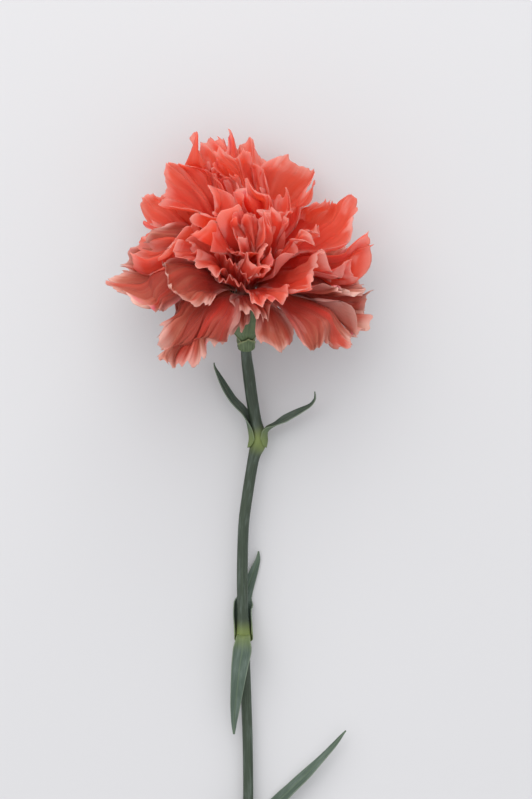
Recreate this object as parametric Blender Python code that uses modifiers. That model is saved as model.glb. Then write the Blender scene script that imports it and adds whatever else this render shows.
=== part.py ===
"""A cut double carnation that lies on a table: metres, +Z up, the stem along -Y and the head at +Y.

The origin is on the table, under the middle of the whole flower. Every petal is a patch of one family
of nested funnels around the axis of the head. A funnel that opens wider lies outside one that opens
less, so petals that overlap never cross.
"""

import math

import bmesh
import bpy
import numpy as np
from mathutils import Vector

MM = 0.001

# The head: its mouth is the middle of the calyx's rim, and azimuth 0 faces up and back along the stem.
MOUTH = Vector((0.9, 86.6, 23.0)) * MM
AXIS_RISE = math.radians(35)
AXIS = Vector((0, math.cos(AXIS_RISE), math.sin(AXIS_RISE)))
RIGHT = Vector((1, 0, 0))
FRONT = RIGHT.cross(AXIS)

# The calyx, and the claws of the petals inside it.
CLAW_LENGTH = 12 * MM
CLAW_HALF_WIDTH = 0.45 * MM
CLAW_INNER = 0.9 * MM
CLAW_OUTER_FOOT = 3.2 * MM
CLAW_OUTER_MOUTH = 4.2 * MM
CALYX_FOOT = 19.5 * MM
CALYX_WALL = 0.4 * MM
CALYX_TEETH = 5
TOOTH_HEIGHT = 3.0 * MM
TOOTH_POWER = 1.5
CALYX_ALONG = 8
# The calyx's outline from its rim to its foot: depth below the mouth and middle radius of its wall.
CALYX_OUTLINE = (
    (-0.5, 5.5),
    (2.0, 5.45),
    (6.0, 5.3),
    (10.0, 5.0),
    (12.5, 4.7),
    (14.5, 3.5),
    (16.5, 2.5),
    (19.5, 2.1),
)

# The four bracts that hug the calyx's foot.
BRACT_FOOT = 20.6 * MM
BRACT_WALL = 0.25 * MM
BRACT_HALF_TURN = math.radians(78)
BRACT_ACROSS = 6
BRACT_ALONG = 4
# How much shorter a bract is at its sides than at its point.
BRACT_POINT = 0.62
BRACT_POINT_POWER = 1.3
# Each bract's azimuth in degrees, distance from the calyx's wall and length in mm.
BRACTS = (
    ("inner_bract_left", -90, 0.6, 6.2),
    ("inner_bract_right", 90, 0.6, 5.8),
    ("outer_bract_front", 10, 1.05, 5.2),
    ("outer_bract_back", 190, 1.05, 5.4),
)

# The petals. CLAW_SHARE is the share of a petal's faces along it that its claw takes, and BLADE_POWER
# crowds the others towards the mouth, where a petal bends: BEND is how far beyond the mouth it takes
# to turn outwards. The petals lie in order of their share of the widest opening, and each one's share
# is at least SHARE_STEP above the one inside it. A petal grows to its full width at 1 / WIDENING of
# its length, and it wraps at most WIDEST_HALF_TURN radians to each side.
PETAL_THICKNESS = 0.12 * MM
PETAL_ACROSS = 7
PETAL_ALONG = 11
CLAW_SHARE = 0.18
BLADE_POWER = 1.6
BEND = 5 * MM
INNER_OPENING = math.radians(5)
SHARE_STEP = 0.028
WIDENING = 1.22
WIDENING_POWER = 0.85
WIDEST_HALF_TURN = 1.25
FUNNEL_STEPS = 24
# A petal's length across it: in the middle, how much less at its sides and by which power of the way
# there, and then small waves of (half waves across, share of its length).
END_MIDDLE = 0.97
END_ROUNDING = 0.32
END_POWER = 2.5
END_WAVES = ((2.3, 0.03), (4.1, 0.02))
# A petal's distance from the axis grows with the sine of its opening, at least LEAST_SPREAD, times
# SPREAD.
LEAST_SPREAD = 0.12
SPREAD = 0.9
# How wide the outermost funnel opens at each azimuth, both in degrees.
OUTER_OPENING = (
    (-180, 92),
    (-120, 84),
    (-70, 90),
    (-40, 104),
    (0, 100),
    (40, 104),
    (80, 98),
    (120, 86),
    (180, 92),
)
# Waves that every funnel shares: how many go round, how far they turn from the innermost funnel to
# the outermost, where they start, and their height, all but the first in radians.
SHARED_WAVES = ((3, 2.0, 0.3, 0.13), (5, -4.0, 1.7, 0.10), (8, 4.0, 4.1, 0.11))
WAVE_SKEW = 0.7
WAVE_REACH = 30 * MM
WAVE_POWER = 1.1

# The head isn't quite round: slow waves of (length, height, start) shift it a little, from FROM to
# FULL away from the mouth. For the shift along X, Y and Z, WAYS holds the direction in which the
# waves run and how many times later they start.
HEAD_WAVES = ((52 * MM, 2.6 * MM, 0.4), (27 * MM, 1.1 * MM, 2.0))
HEAD_WAVE_WAYS = (((0, 0.6, 0.8), 1.0), ((-0.7, 0, 0.7), 1.7), ((0.8, 0.6, 0), 2.3))
HEAD_WAVES_FROM = 8 * MM
HEAD_WAVES_FULL = 28 * MM
# Petals that would reach below the table lie along it. This is how softly they come down on it.
TABLE_SOFTNESS = 1.5 * MM

# Every petal: azimuth and opening in degrees, length and width in mm.
PETALS = (
    # The crumpled middle.
    (40, 7, 31, 17),
    (178, 9, 36, 18),
    (-45, 11, 30, 15),
    (6, 17, 27, 18),
    (92, 16, 33, 18),
    (-132, 17, 35, 19),
    (-80, 22, 34, 20),
    (140, 22, 37, 20),
    (-165, 24, 39, 22),
    (60, 25, 33, 20),
    # Tall ones at the back and the left.
    (185, 31, 47, 26),
    (155, 44, 50, 24),
    (-135, 44, 43, 28),
    (188, 50, 49, 27),
    (-155, 50, 50, 26),
    (127, 51, 46, 24),
    (-138, 56, 45, 36),
    (-110, 62, 40, 34),
    (100, 67, 42, 22),
    # In front of the middle and at its sides.
    (-4, 24, 24, 22),
    (20, 32, 26, 18),
    (-62, 42, 27, 22),
    (-30, 38, 23, 20),
    (75, 42, 34, 28),
    (47, 38, 25, 26),
    (72, 62, 29, 30),
    (-80, 48, 33, 20),
    (-28, 56, 19, 18),
    (20, 60, 22, 19),
    # Hanging guard petals.
    (-60, 72, 31, 26),
    (88, 82, 35, 30),
    (-90, 79, 43, 36),
    (6, 102, 18, 22),
    (84, 103, 40, 20),
    (58, 112, 33, 25),
    (-42, 110, 37, 36),
    (23, 136, 25, 12),
    (-17, 136, 20, 11),
    # Spread ones below and behind.
    (157, 72, 39, 35),
    (-160, 78, 38, 34),
    (120, 80, 38, 34),
    (-122, 84, 38, 27),
    (182, 98, 32, 36),
)

# The stem: its middle line from the cut end to the foot of the calyx, with its radius, in mm.
STEM_ROUTE = (
    (1.9, -134.0, 1.65, 1.60),
    (1.9, -120.0, 2.0, 1.60),
    (1.7, -104.0, 2.5, 1.60),
    (1.5, -93.5, 2.8, 1.65),
    (1.3, -90.5, 2.9, 2.15),
    (1.2, -87.5, 2.9, 2.05),
    (1.3, -84.0, 2.9, 1.65),
    (1.5, -72.0, 3.0, 1.60),
    (1.3, -56.0, 3.3, 1.60),
    (0.9, -44.0, 3.5, 1.65),
    (0.3, -28.0, 3.9, 1.75),
    (0.0, -24.0, 4.0, 2.30),
    (-0.1, -20.5, 4.0, 2.10),
    (-0.3, -15.0, 4.1, 1.75),
    (-0.4, -2.0, 4.3, 1.75),
    (0.0, 12.0, 4.6, 1.75),
    (1.2, 22.0, 4.9, 1.80),
    (3.2, 34.0, 5.4, 1.90),
    (4.6, 38.5, 5.6, 2.60),
    (4.9, 41.5, 5.7, 2.60),
    (4.0, 45.5, 5.9, 2.00),
    (2.6, 54.0, 6.6, 1.95),
    (1.7, 61.0, 7.6, 1.95),
)
NECK_LENGTH = 4 * MM
NECK_RADIUS = 1.75 * MM
STEM_STEP = 4.5 * MM
# The receptacle that ends the stem under the claws: distance below them and radius, in mm.
RECEPTACLE = ((3.5, 2.1), (1.5, 3.2), (0.3, 3.7))

# The leaves, in pairs at the stem's three nodes. A leaf holds the azimuth of its sheath around the stem
# (0 up, 90 right), half the turn that the sheath hugs, the radius of its wall, where the sheath starts
# and ends along Y, the blade's width, its roll, and the blade's middle line, all in mm and degrees.
LEAF_WALL = 0.35 * MM
LEAF_CHANNEL = 7 * MM
LEAF_ACROSS = 6
LEAF_ALONG = 12
LEAF_STEP = 1 * MM
# Shares of the free blade's length by which it has opened out of its sheath and has its full roll.
LEAF_OPEN_BY = 0.2
LEAF_ROLLED_BY = 1 / 3
# Shares of the blade's width at its tip and where it starts, and how slowly it narrows.
LEAF_TIP = 0.012
LEAF_START = 0.86
LEAF_TAPER = 0.62
LEAVES = (
    (
        "upper_left_leaf", -98, 84, 3.15, 37.6, 43.5, 6.2, -30,
        ((0.5, 48.0, 5.6), (-3.6, 53.0, 5.2), (-6.8, 58.4, 4.8), (-9.2, 63.3, 4.6), (-9.4, 64.8, 4.6)),
    ),
    (
        "upper_right_leaf", 86, 84, 3.15, 37.6, 42.5, 5.0, 35,
        (
            (9.9, 44.6, 6.2), (15.1, 47.7, 6.8), (18.9, 49.8, 7.0), (21.5, 51.3, 7.1),
            (22.9, 53.4, 7.2), (22.7, 55.5, 7.4),
        ),
    ),
    (
        "middle_front_leaf", 0, 50, 2.85, -25.0, -23.6, 7.0, 0,
        (
            (0.0, -22.6, 7.7), (-0.2, -23.4, 8.8), (-0.4, -27.0, 9.1), (-1.3, -33.0, 8.6),
            (-2.2, -41.0, 7.4), (-2.9, -48.5, 6.0), (-3.1, -54.2, 5.0),
        ),
    ),
    (
        "middle_back_leaf", 180, 118, 2.85, -25.0, -14.0, 5.2, 12,
        ((1.0, -8.4, 1.0), (3.2, -2.4, 0.9), (4.6, 1.6, 1.1), (4.8, 4.2, 1.5)),
    ),
    (
        "lower_right_leaf", 88, 84, 2.7, -91.0, -85.5, 6.4, 50,
        (
            (6.0, -81.0, 3.0), (10.0, -77.0, 3.2), (15.3, -71.9, 3.5), (22.0, -65.3, 3.8),
            (28.0, -58.9, 4.2), (32.8, -53.1, 4.8),
        ),
    ),
    (
        "lower_left_leaf", -88, 84, 2.7, -91.0, -85.5, 6.4, -60,
        (
            (-4.5, -82.0, 3.2), (-9.0, -81.0, 3.4), (-14.0, -83.0, 3.2), (-19.0, -88.5, 2.8),
            (-23.0, -96.0, 2.4), (-25.0, -103.0, 2.4),
        ),
    ),
)

PETAL_RED = (0.62, 0.13, 0.08, 1)
CALYX_GREEN = (0.09, 0.13, 0.045, 1)
STEM_GREEN = (0.05, 0.085, 0.045, 1)
LEAF_GREEN = (0.075, 0.11, 0.075, 1)


def plain_material(name, colour, roughness):
    material = bpy.data.materials.new(name)
    material.use_nodes = True
    shader = material.node_tree.nodes["Principled BSDF"]
    shader.inputs["Base Color"].default_value = colour
    shader.inputs["Roughness"].default_value = roughness
    shader.inputs["Metallic"].default_value = 0.0
    return material


def shaped_grid(name, across, along, place, thickness, material, tube=False):
    """A sheet of across by along faces at place(b, t), b from -1 to 1 and t from 0 to 1, made thick."""
    bm = bmesh.new()
    bmesh.ops.create_grid(bm, x_segments=across, y_segments=along, size=0.5)
    flat = np.array([vert.co for vert in bm.verts])
    for vert, point in zip(bm.verts, place(2 * flat[:, 0], flat[:, 1] + 0.5)):
        vert.co = point
    if tube:
        bmesh.ops.remove_doubles(bm, verts=bm.verts, dist=0.01 * MM)
    for face in bm.faces:
        face.smooth = True
    mesh = bpy.data.meshes.new(name)
    bm.to_mesh(mesh)
    bm.free()
    sheet = bpy.data.objects.new(name, mesh)
    flower.objects.link(sheet)
    solid = sheet.modifiers.new("thickness", "SOLIDIFY")
    solid.thickness = thickness
    solid.offset = 0
    mesh.materials.append(material)
    return sheet


def softened(share):
    """0 to 1, level at both ends."""
    share = np.clip(share, 0, 1)
    return share * share * (3 - 2 * share)


def eased(value, knots):
    """A smooth curve through knots of (place, height), level at each of them."""
    places = np.array([knot[0] for knot in knots], float)
    heights = np.array([knot[1] for knot in knots], float)
    index = np.clip(np.searchsorted(places, value, side="right") - 1, 0, len(knots) - 2)
    share = softened((value - places[index]) / (places[index + 1] - places[index]))
    return heights[index] * (1 - share) + heights[index + 1] * share


def head_point(radius, azimuth, height):
    """The points at a radius from the head's axis, an azimuth, and a height above the mouth."""
    across = (radius * np.cos(azimuth))[:, None] * np.array(FRONT)
    across = across + (radius * np.sin(azimuth))[:, None] * np.array(RIGHT)
    return np.array(MOUTH) + across + height[:, None] * np.array(AXIS)


def uneven(points):
    """Shifts the points of the head by the slow waves."""
    away = points - np.array(MOUTH)
    shift = np.zeros_like(points)
    for length, height, start in HEAD_WAVES:
        for axis, (way, later) in enumerate(HEAD_WAVE_WAYS):
            phase = 2 * math.pi / length * (away @ np.array(way)) + later * start
            shift[:, axis] += height * np.sin(phase)
    distance = np.linalg.norm(away, axis=1)
    share = (distance - HEAD_WAVES_FROM) / (HEAD_WAVES_FULL - HEAD_WAVES_FROM)
    return points + shift * softened(share)[:, None]


def laid_on_table(points):
    """Bends whatever would go below the table so that it lies along it."""
    laid = points.copy()
    laid[:, 2] = TABLE_SOFTNESS * np.log1p(np.exp(points[:, 2] / TABLE_SOFTNESS))
    return laid


class Petal:
    def __init__(self, azimuth, opening, length, width, seed):
        self.azimuth = math.radians(azimuth)
        widest = math.radians(float(eased(np.array(float(azimuth)), OUTER_OPENING)))
        self.share = (math.radians(opening) - INNER_OPENING) / (widest - INNER_OPENING)
        self.length = length * MM
        self.width = width * MM
        self.seed = seed
        self.rank = 0.5

    def opening(self, azimuth):
        """How far the petal's funnel opens from the axis at an azimuth."""
        outer = np.radians(eased((np.degrees(azimuth) + 180) % 360 - 180, OUTER_OPENING))
        return INNER_OPENING + (outer - INNER_OPENING) * self.share

    def distance_out(self, distance):
        """About how far from the axis the petal is, this far along it."""
        opening = float(self.opening(np.array(self.azimuth)))
        reach = np.maximum(distance, 0) * max(LEAST_SPREAD, math.sin(opening)) * SPREAD
        return CLAW_OUTER_MOUTH * self.rank + CLAW_INNER + reach

    def direction(self, distance, azimuth):
        """The angle from the axis at which the petal runs, this far along it."""
        angle = self.opening(azimuth) * (1 - np.exp(-distance / BEND))
        waves = 0
        for count, turn, start, height in SHARED_WAVES:
            skew = WAVE_SKEW * np.sin(2 * azimuth + start)
            waves = waves + height * np.sin(count * azimuth + turn * self.share + start + skew)
        return angle + waves * (distance / WAVE_REACH) ** WAVE_POWER

    def funnel(self, distance, azimuth):
        """Radius and height above the mouth, this far along the petal from the mouth."""
        mouth = CLAW_INNER + CLAW_OUTER_MOUTH * self.rank
        foot = CLAW_INNER + CLAW_OUTER_FOOT * self.rank
        beyond = np.maximum(distance, 0)
        radius = mouth + (mouth - foot) * np.minimum(distance, 0) / CLAW_LENGTH
        height = np.minimum(distance, 0)
        for step in range(FUNNEL_STEPS):
            angle = self.direction(beyond * (step + 0.5) / FUNNEL_STEPS, azimuth)
            radius = radius + np.sin(angle) * beyond / FUNNEL_STEPS
            height = height + np.cos(angle) * beyond / FUNNEL_STEPS
        return radius, height

    def outline(self, b):
        """How much of its length the petal has at b across, with rounded corners."""
        starts = np.random.default_rng(self.seed).uniform(0, 2 * math.pi, len(END_WAVES))
        length = END_MIDDLE - END_ROUNDING * np.abs(b) ** END_POWER
        for (count, height), start in zip(END_WAVES, starts):
            length = length + height * np.sin(count * math.pi * b + start)
        return length

    def place(self, b, t):
        """The petal's points at b across and t along it."""
        claw = np.interp(t, (0, CLAW_SHARE), (-CLAW_LENGTH, 0))
        along = np.clip((t - CLAW_SHARE) / (1 - CLAW_SHARE), 0, 1) ** BLADE_POWER
        blade = along * self.length * self.outline(b)
        distance = np.where(t < CLAW_SHARE, claw, blade)
        widening = np.clip(WIDENING * np.maximum(distance, 0) / self.length, 0, 1) ** WIDENING_POWER
        half_width = CLAW_HALF_WIDTH + (self.width / 2 - CLAW_HALF_WIDTH) * widening
        turn = b * half_width / self.distance_out(distance)
        azimuth = self.azimuth + WIDEST_HALF_TURN * np.tanh(turn / WIDEST_HALF_TURN)
        radius, height = self.funnel(distance, azimuth)
        return laid_on_table(uneven(head_point(radius, azimuth, height)))


def petals():
    """Every petal, from the middle of the head outwards."""
    found = [Petal(*row, seed) for seed, row in enumerate(PETALS)]
    found.sort(key=lambda petal: petal.share)
    for inner, petal in zip(found, found[1:]):
        petal.share = max(petal.share, inner.share + SHARE_STEP)
    for index, petal in enumerate(found):
        petal.rank = (index + 0.5) / len(found)
    return found


def add_petals():
    red = plain_material("petal", PETAL_RED, 0.6)
    for index, petal in enumerate(petals(), 1):
        name = f"petal_{index:02d}"
        shaped_grid(name, PETAL_ACROSS, PETAL_ALONG, petal.place, PETAL_THICKNESS, red)


def smooth_route(points, step):
    """Points every step along a smooth curve through the given ones, each with all of its values."""
    rows = np.array(points, float)
    padded = np.vstack((2 * rows[0] - rows[1], rows, 2 * rows[-1] - rows[-2]))
    found = []
    for index in range(len(rows) - 1):
        before, start, end, after = padded[index : index + 4]
        pieces = max(1, round(float(np.linalg.norm(end[:3] - start[:3])) / step))
        square = 2 * before - 5 * start + 4 * end - after
        cube = 3 * start - before - 3 * end + after
        for share in np.arange(pieces) / pieces:
            found.append(start + (share * (end - before) + share**2 * square + share**3 * cube) / 2)
    found.append(rows[-1])
    return np.array(found)


def stem_rows():
    """The stem's middle line and radius, from the cut end up to the receptacle inside the calyx."""
    route = [[value * MM for value in row] for row in STEM_ROUTE]
    foot = MOUTH - CALYX_FOOT * AXIS
    route.append([*(foot - NECK_LENGTH * AXIS), NECK_RADIUS])
    route.append([*foot, NECK_RADIUS])
    rows = list(smooth_route(route, STEM_STEP))
    for below, radius in RECEPTACLE:
        depth = CLAW_LENGTH + below * MM
        rows.append([*(MOUTH - depth * AXIS), radius * MM])
    return rows


def add_stem():
    curve = bpy.data.curves.new("stem", "CURVE")
    curve.dimensions = "3D"
    curve.bevel_depth = 1
    curve.bevel_resolution = 2
    curve.use_fill_caps = True
    rows = stem_rows()
    line = curve.splines.new("POLY")
    line.points.add(len(rows) - 1)
    for point, row in zip(line.points, rows):
        point.co = (*row[:3], 1)
        point.radius = row[3]
    curve.materials.append(plain_material("stem", STEM_GREEN, 0.55))
    flower.objects.link(bpy.data.objects.new("stem", curve))


def calyx_radius(depth):
    outline = np.array(CALYX_OUTLINE) * MM
    return np.interp(depth, outline[:, 0], outline[:, 1])


def add_calyx():
    top = CALYX_OUTLINE[0][0] * MM

    def place(b, t):
        tooth = np.abs((b * CALYX_TEETH / 2) % 1 - 0.5) * 2
        rim = top + TOOTH_HEIGHT * tooth**TOOTH_POWER
        depth = rim + (CALYX_FOOT - rim) * t
        return head_point(calyx_radius(depth), b * math.pi, -depth)

    green = plain_material("calyx", CALYX_GREEN, 0.5)
    shaped_grid("calyx", 4 * CALYX_TEETH, CALYX_ALONG, place, CALYX_WALL, green, tube=True)


def add_bracts():
    green = plain_material("bract", CALYX_GREEN, 0.5)
    for name, azimuth, off_calyx, length in BRACTS:

        def place(b, t, azimuth=math.radians(azimuth), off_calyx=off_calyx * MM, length=length * MM):
            depth = BRACT_FOOT - length * t * (1 - BRACT_POINT * np.abs(b) ** BRACT_POINT_POWER)
            return head_point(calyx_radius(depth) + off_calyx, azimuth + BRACT_HALF_TURN * b, -depth)

        shaped_grid(name, BRACT_ACROSS, BRACT_ALONG, place, BRACT_WALL, green)


def stem_at(along):
    """The middle of the stem where its Y is this many mm."""
    route = np.array(STEM_ROUTE)
    return np.array([np.interp(along, route[:, 1], route[:, axis]) for axis in (0, 1, 2)]) * MM


def leaf_frame(line, side, roll):
    """For each point of a leaf's middle line, the directions across the leaf and out of its upper face."""
    along = np.gradient(line, axis=0)
    along = along / np.linalg.norm(along, axis=1)[:, None]
    across = side - along * (along @ side)[:, None]
    across = across / np.linalg.norm(across, axis=1)[:, None]
    face = np.cross(along, across)
    turn = roll[:, None]
    return across * np.cos(turn) + face * np.sin(turn), face * np.cos(turn) - across * np.sin(turn)


def add_leaf(material, name, azimuth, half_turn, radius, start, end, width, roll, blade):
    out = np.array([math.sin(math.radians(azimuth)), 0, math.cos(math.radians(azimuth))])
    side = np.cross((0, 1, 0), out)
    sheath = [stem_at(along) + out * radius * MM for along in np.linspace(start, end, 3)]
    line = smooth_route([*sheath, *(np.array(blade) * MM)], LEAF_STEP)
    lengths = np.concatenate(([0], np.cumsum(np.linalg.norm(np.diff(line, axis=0), axis=1))))
    sheath_length = (end - start) * MM
    free = np.clip((lengths - sheath_length) / (lengths[-1] - sheath_length), 0, 1)
    across, face = leaf_frame(line, side, math.radians(roll) * np.clip(free / LEAF_ROLLED_BY, 0, 1))
    hug = 2 * math.radians(half_turn) * radius * MM
    open_up = softened(free / LEAF_OPEN_BY)
    taper = np.clip(1 - free, LEAF_TIP, 1) ** LEAF_TAPER * np.clip(LEAF_START + free, 0, 1)
    widths = hug * (1 - open_up) + width * MM * taper * open_up
    bends = (1 - open_up) / (radius * MM) + open_up / LEAF_CHANNEL

    def place(b, t):
        at = t * lengths[-1]
        arc = b * np.interp(at, lengths, widths) / 2
        bend = np.interp(at, lengths, bends)
        points = [
            np.interp(at, lengths, line[:, axis])
            + np.interp(at, lengths, across[:, axis]) * np.sin(arc * bend) / bend
            + np.interp(at, lengths, face[:, axis]) * (1 - np.cos(arc * bend)) / bend
            for axis in (0, 1, 2)
        ]
        return np.stack(points, axis=1)

    shaped_grid(name, LEAF_ACROSS, LEAF_ALONG, place, LEAF_WALL, material)


def add_leaves():
    green = plain_material("leaf", LEAF_GREEN, 0.5)
    for row in LEAVES:
        add_leaf(green, *row)


for leftover in list(bpy.data.objects):
    bpy.data.objects.remove(leftover)
flower = bpy.data.collections.new("cut_carnation")
bpy.context.scene.collection.children.link(flower)
add_petals()
add_stem()
add_calyx()
add_bracts()
add_leaves()
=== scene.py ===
import math

import bmesh
import bpy
import numpy as np
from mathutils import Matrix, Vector


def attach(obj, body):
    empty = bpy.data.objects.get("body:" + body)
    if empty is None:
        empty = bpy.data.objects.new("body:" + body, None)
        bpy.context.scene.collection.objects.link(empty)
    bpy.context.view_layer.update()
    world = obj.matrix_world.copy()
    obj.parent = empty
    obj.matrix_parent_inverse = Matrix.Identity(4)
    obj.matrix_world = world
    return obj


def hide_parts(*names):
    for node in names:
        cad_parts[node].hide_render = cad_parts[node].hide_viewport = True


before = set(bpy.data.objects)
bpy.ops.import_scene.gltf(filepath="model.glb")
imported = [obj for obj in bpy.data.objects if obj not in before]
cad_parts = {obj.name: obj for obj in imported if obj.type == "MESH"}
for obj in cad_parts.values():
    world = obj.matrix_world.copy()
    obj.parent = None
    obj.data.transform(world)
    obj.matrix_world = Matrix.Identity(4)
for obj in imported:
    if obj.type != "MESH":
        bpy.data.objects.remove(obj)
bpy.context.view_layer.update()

# Lengths are in metres and angles in radians, unless a comment says otherwise.
MM = 0.001
TURN = 2 * math.pi

# ---------- The shape of the head ----------

# The head's mouth is in the calyx's rim, and azimuth 0 faces up and back along the stem.
MOUTH = Vector((0.9, 86.6, 23.0)) * MM
AXIS_RISE = math.radians(35)
AXIS = Vector((0, math.cos(AXIS_RISE), math.sin(AXIS_RISE)))
RIGHT = Vector((1, 0, 0))
FRONT = RIGHT.cross(AXIS)

# A petal's claw inside the calyx: its length and half width, how far from the axis the innermost one
# is, how much further the outermost one is at its foot and at the mouth, and its share of a petal's
# faces.
CLAW_LENGTH = 12 * MM
CLAW_HALF_WIDTH = 0.45 * MM
CLAW_INNER = 0.9 * MM
CLAW_OUTER_FOOT = 3.2 * MM
CLAW_OUTER_MOUTH = 4.2 * MM
CLAW_SHARE = 0.08

# A petal's blade turns outwards over about BEND. The petals lie in order of their share of the widest
# opening, and each one's share is at least SHARE_STEP above the one inside it. A petal has its full
# width from 1 / WIDENING of its length, and wraps at most WIDEST_HALF_TURN to each side.
PETAL_THICKNESS = 0.22 * MM
BEND = 5 * MM
INNER_OPENING = math.radians(5)
SHARE_STEP = 0.028
WIDENING = 1.22
WIDENING_POWER = 0.85
WIDEST_HALF_TURN = 1.25
FUNNEL_STEPS = 22
# A petal's length across it: in the middle, how much less at its sides and by which power of the way
# there, and then small waves of (waves across, share of its length). Its corners are rounded off by
# CORNER_ROUNDING of its length, from CORNER_FROM across it.
END_MIDDLE = 0.97
END_ROUNDING = 0.32
END_POWER = 2.5
END_WAVES = ((2.3, 0.03), (4.1, 0.02))
CORNER_ROUNDING = 0.22
CORNER_FROM = 0.8
# A petal's rim curls from CURL_FROM of its length, and a cupped petal doesn't lean at the square root
# of CUP_REST across it.
CURL_FROM = 0.66
CURL_STRENGTH = 9
SPOON_STRENGTH = 0.8
CUP_REST = 0.35
# A petal's distance from the axis grows with the sine of its opening, at least LEAST_SPREAD, times
# SPREAD. Its sides are taken at SIDE_AT of its length, and at most MOST_SIDE_TURN from its middle.
LEAST_SPREAD = 0.12
SPREAD = 0.9
SIDE_AT = 0.8
MOST_SIDE_TURN = 1.45
# How wide the outermost funnel opens at each azimuth, both in degrees.
OUTER_OPENING = (
    (-180, 92), (-120, 84), (-70, 90), (-40, 104), (0, 100), (40, 104), (80, 98), (120, 86),
    (180, 92),
)
# Waves that every funnel shares: how many go round, how far they turn from the innermost funnel to
# the outermost, where they start, and their height. They are bunched by WAVE_SKEW, and have their
# height WAVE_REACH beyond the mouth.
SHARED_WAVES = ((3, 2.0, 0.3, 0.13), (5, -4.0, 1.7, 0.10), (8, 4.0, 4.1, 0.11))
WAVE_SKEW = 0.7
WAVE_REACH = 30 * MM
WAVE_POWER = 1.1
# The head isn't quite round: slow waves of (length, height, start) shift it a little, from FROM to
# FULL away from the mouth. For the shift along X, Y and Z, WAYS holds the direction in which the
# waves run and how many times later they start.
HEAD_WAVES = ((52 * MM, 2.6 * MM, 0.4), (27 * MM, 1.1 * MM, 2.0))
HEAD_WAVE_WAYS = (((0, 0.6, 0.8), 1.0), ((-0.7, 0, 0.7), 1.7), ((0.8, 0.6, 0), 2.3))
HEAD_WAVES_FROM = 8 * MM
HEAD_WAVES_FULL = 28 * MM
# Over how many metres a petal that meets the table bends along it.
TABLE_SOFTNESS = 1.5 * MM

# Each group of petals holds how many folds a petal has across, then in mm how far its rim is crimped,
# how far its sheet is crimped and how deep its clefts are, and how much painted shade darkens it from
# 0 to 1. A petal's row holds its azimuth and opening in degrees, length and width in mm, cup, twist,
# curl, spoon and the depth of its folds.
PETAL_GROUPS = (
    # The crumpled middle.
    (2.4, 1.6, 2.6, 8.0, 0.0, (
        (40, 7, 31, 17, 0.06, 0.12, 0.1, 0, 0.22),
        (178, 9, 36, 18, 0, -0.08, 0.3, 0, 0.2),
        (-45, 11, 30, 15, 0.06, -0.12, 0.2, 0, 0.22),
        (6, 17, 27, 18, -0.02, -0.08, 0.2, 0, 0.22),
        (92, 16, 33, 18, 0, 0.12, 0.1, 0, 0.2),
        (-132, 17, 35, 19, -0.06, 0.02, 0, 0, 0.18),
        (-80, 22, 34, 20, 0.1, -0.04, 0.2, 0, 0.2),
        (140, 22, 37, 20, 0.1, 0.06, 0.2, 0, 0.16),
        (-165, 24, 39, 22, 0.04, 0, 0.2, 0, 0.14),
        (60, 25, 33, 20, 0.12, 0, 0.2, 0, 0.2),
    )),
    # Tall ones at the back and the left.
    (2.3, 1.1, 1.9, 1.8, 0.05, (
        (185, 31, 47, 26, 0.15, 0, 0.1, 0.1, 0.09),
        (155, 44, 50, 24, 0.2, -0.1, -0.2, 0.1, 0.08),
        (-135, 44, 43, 28, 0, 0, 0, 0.1, 0.1),
        (188, 50, 49, 27, 0, 0, -0.2, 0.1, 0.09),
        (-155, 50, 50, 26, -0.05, 0, 0, 0.1, 0.1),
        (127, 51, 46, 24, 0.15, -0.1, -0.1, 0.1, 0.06),
        (-138, 56, 45, 36, -0.05, 0.1, -0.1, 0.1, 0.1),
        (-110, 62, 40, 34, 0.2, -0.1, -0.3, 0, 0.1),
        (100, 67, 42, 22, -0.15, 0, 0.1, 0, 0.15),
    )),
    # In front of the middle and at its sides.
    (1.8, 1.3, 2.4, 5.0, 0.15, (
        (-4, 24, 24, 22, 0.1, -0.1, 0.3, 0, 0.18),
        (20, 32, 26, 18, 0.15, 0.1, 0.8, 0, 0.16),
        (-62, 42, 27, 22, 0.1, 0.15, 0.1, 0, 0.14),
        (-30, 38, 23, 20, -0.1, 0.2, 0, 0, 0.15),
        (75, 42, 34, 28, 0.2, -0.1, 1.6, 0, 0.1),
        (47, 38, 25, 26, 0.15, -0.1, 0, 0, 0.15),
        (72, 62, 29, 30, 0.1, 0.05, 0.3, 0, 0.13),
        (-80, 48, 33, 20, 0, -0.05, 0.2, 0, 0.13),
        (-28, 56, 19, 18, -0.15, 0, 0.4, 0, 0.14),
        (20, 60, 22, 19, 0.15, 0, 1.1, 0, 0.14),
    )),
    # Hanging guard petals.
    (1.9, 1.1, 2.4, 1.6, 0.85, (
        (-60, 72, 31, 26, 0.35, 0, -1.6, 0, 0.03),
        (88, 82, 35, 30, 0.25, 0, 0.2, 0, 0.15),
        (-90, 79, 43, 36, -0.2, 0.3, 0, 0, 0.05),
        (6, 102, 18, 22, 0, 0, 0.1, 0, 0.08),
        (84, 103, 40, 20, -0.05, 0, 0.2, 0, 0.06),
        (58, 112, 33, 25, 0, 0, -0.3, 0, 0.11),
        (-42, 110, 37, 36, -0.2, -0.15, 0.3, 0, 0.14),
        (23, 136, 25, 12, 0.1, 0, 0.1, 0, 0.05),
        (-17, 136, 20, 11, 0.25, 0.1, 0.1, 0, 0.06),
    )),
    # Spread ones below and behind.
    (1.6, 0.7, 1.2, 1.5, 0.6, (
        (157, 72, 39, 35, 0.05, 0, 0, 0, 0.05),
        (-160, 78, 38, 34, -0.1, 0, -0.1, 0, 0.05),
        (120, 80, 38, 34, -0.25, -0.15, -0.2, 0, 0.05),
        (-122, 84, 38, 27, -0.2, 0, 0.1, 0, 0.05),
        (182, 98, 32, 36, -0.05, 0, 0, 0, 0.05),
    )),
)
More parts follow.
